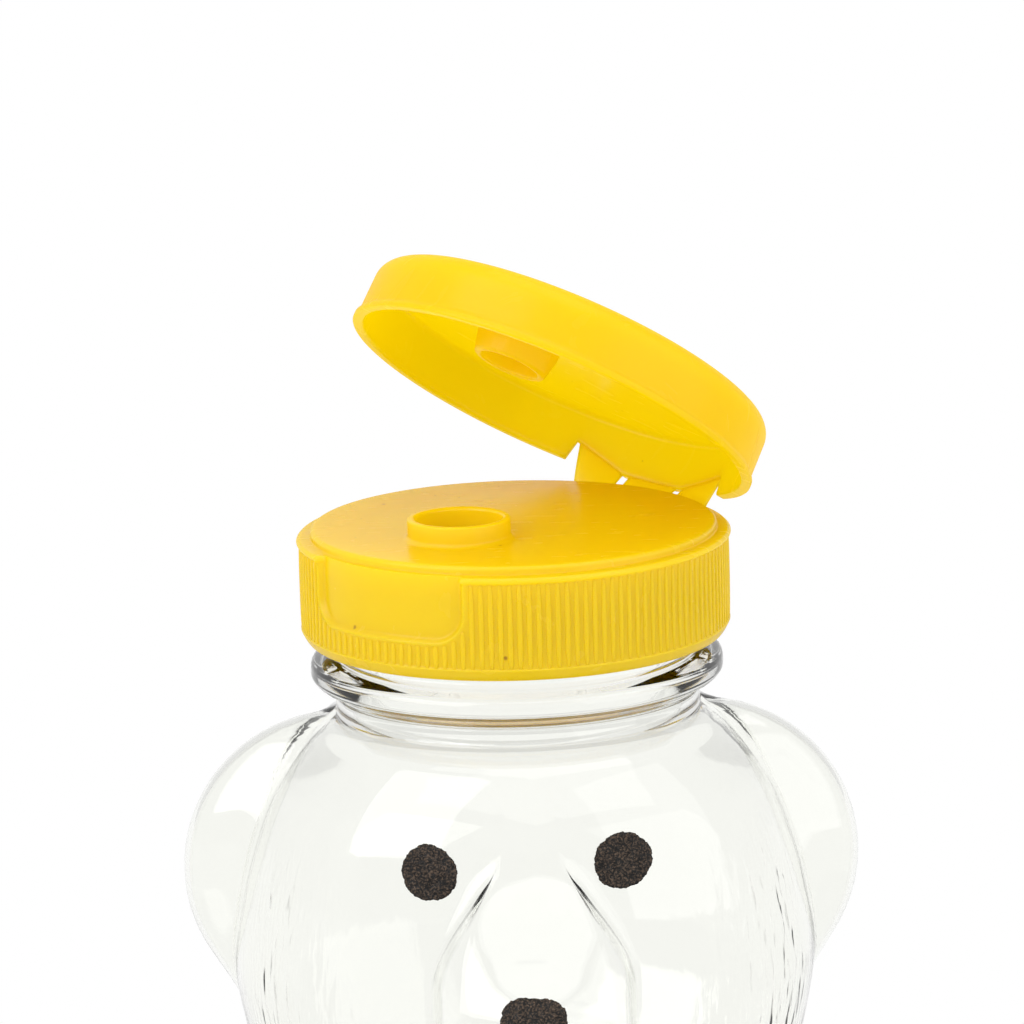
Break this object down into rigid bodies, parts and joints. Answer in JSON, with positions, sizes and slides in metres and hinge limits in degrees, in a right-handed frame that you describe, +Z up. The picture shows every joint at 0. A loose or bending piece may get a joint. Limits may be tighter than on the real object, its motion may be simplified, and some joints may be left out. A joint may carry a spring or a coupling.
{
  "type": "honey bear bottle",
  "caption": "Clear bear-shaped squeeze bottle with rounded ears, printed face and a ribbed yellow screw cap with a hinged flip lid, spout and sealing plug.",
  "frame": {"origin": "centre of the base, on the bottle's axis, at the level the bottle stands on", "axes": "+Z up along the bottle's axis, the bear faces -Y, +X to the right of someone looking at its face"},
  "size_m": [0.0746, 0.0616, 0.1899],
  "materials": {
    "clear_plastic": "clear gloss",
    "ink": "rough ink",
    "foam": "matt",
    "yellow_plastic": "satin"
  },
  "bodies": {
    "bottle_body": {"bottle_torso": "clear_plastic", "bottle_head": "clear_plastic", "eye_left": "ink", "eye_right": "ink", "nose": "ink"},
    "seal": {"seal_ring": "foam"},
    "cap": {"cap_base": "yellow_plastic", "hinge_band": "yellow_plastic", "hinge_wing_left": "yellow_plastic", "hinge_wing_right": "yellow_plastic"},
    "lid": {"flip_lid": "yellow_plastic"}
  },
  "joints": [
    {"name": "cap_lift", "type": "slide", "parent": "bottle_body", "child": "seal", "axis": [0, 0, 1], "range_m": [0, 0.0064]},
    {"name": "cap_turn", "type": "hinge", "parent": "seal", "child": "cap", "pos_m": [0, 0, 0.161], "axis": [0, 0, 1], "range_deg": [0, 540]},
    {"name": "lid_hinge", "type": "hinge", "parent": "cap", "child": "lid", "pos_m": [0.01591, 0.01369, 0.15961], "axis": [-0.6521, 0.7581, 0], "range_deg": [-34.5, 130.5], "deforming": ["hinge_band", "hinge_wing_left", "hinge_wing_right"]}
  ],
  "couplings": [
    {"joint": "cap_lift", "follows": "cap_turn", "m_per_rad": 0.0006737}
  ]
}
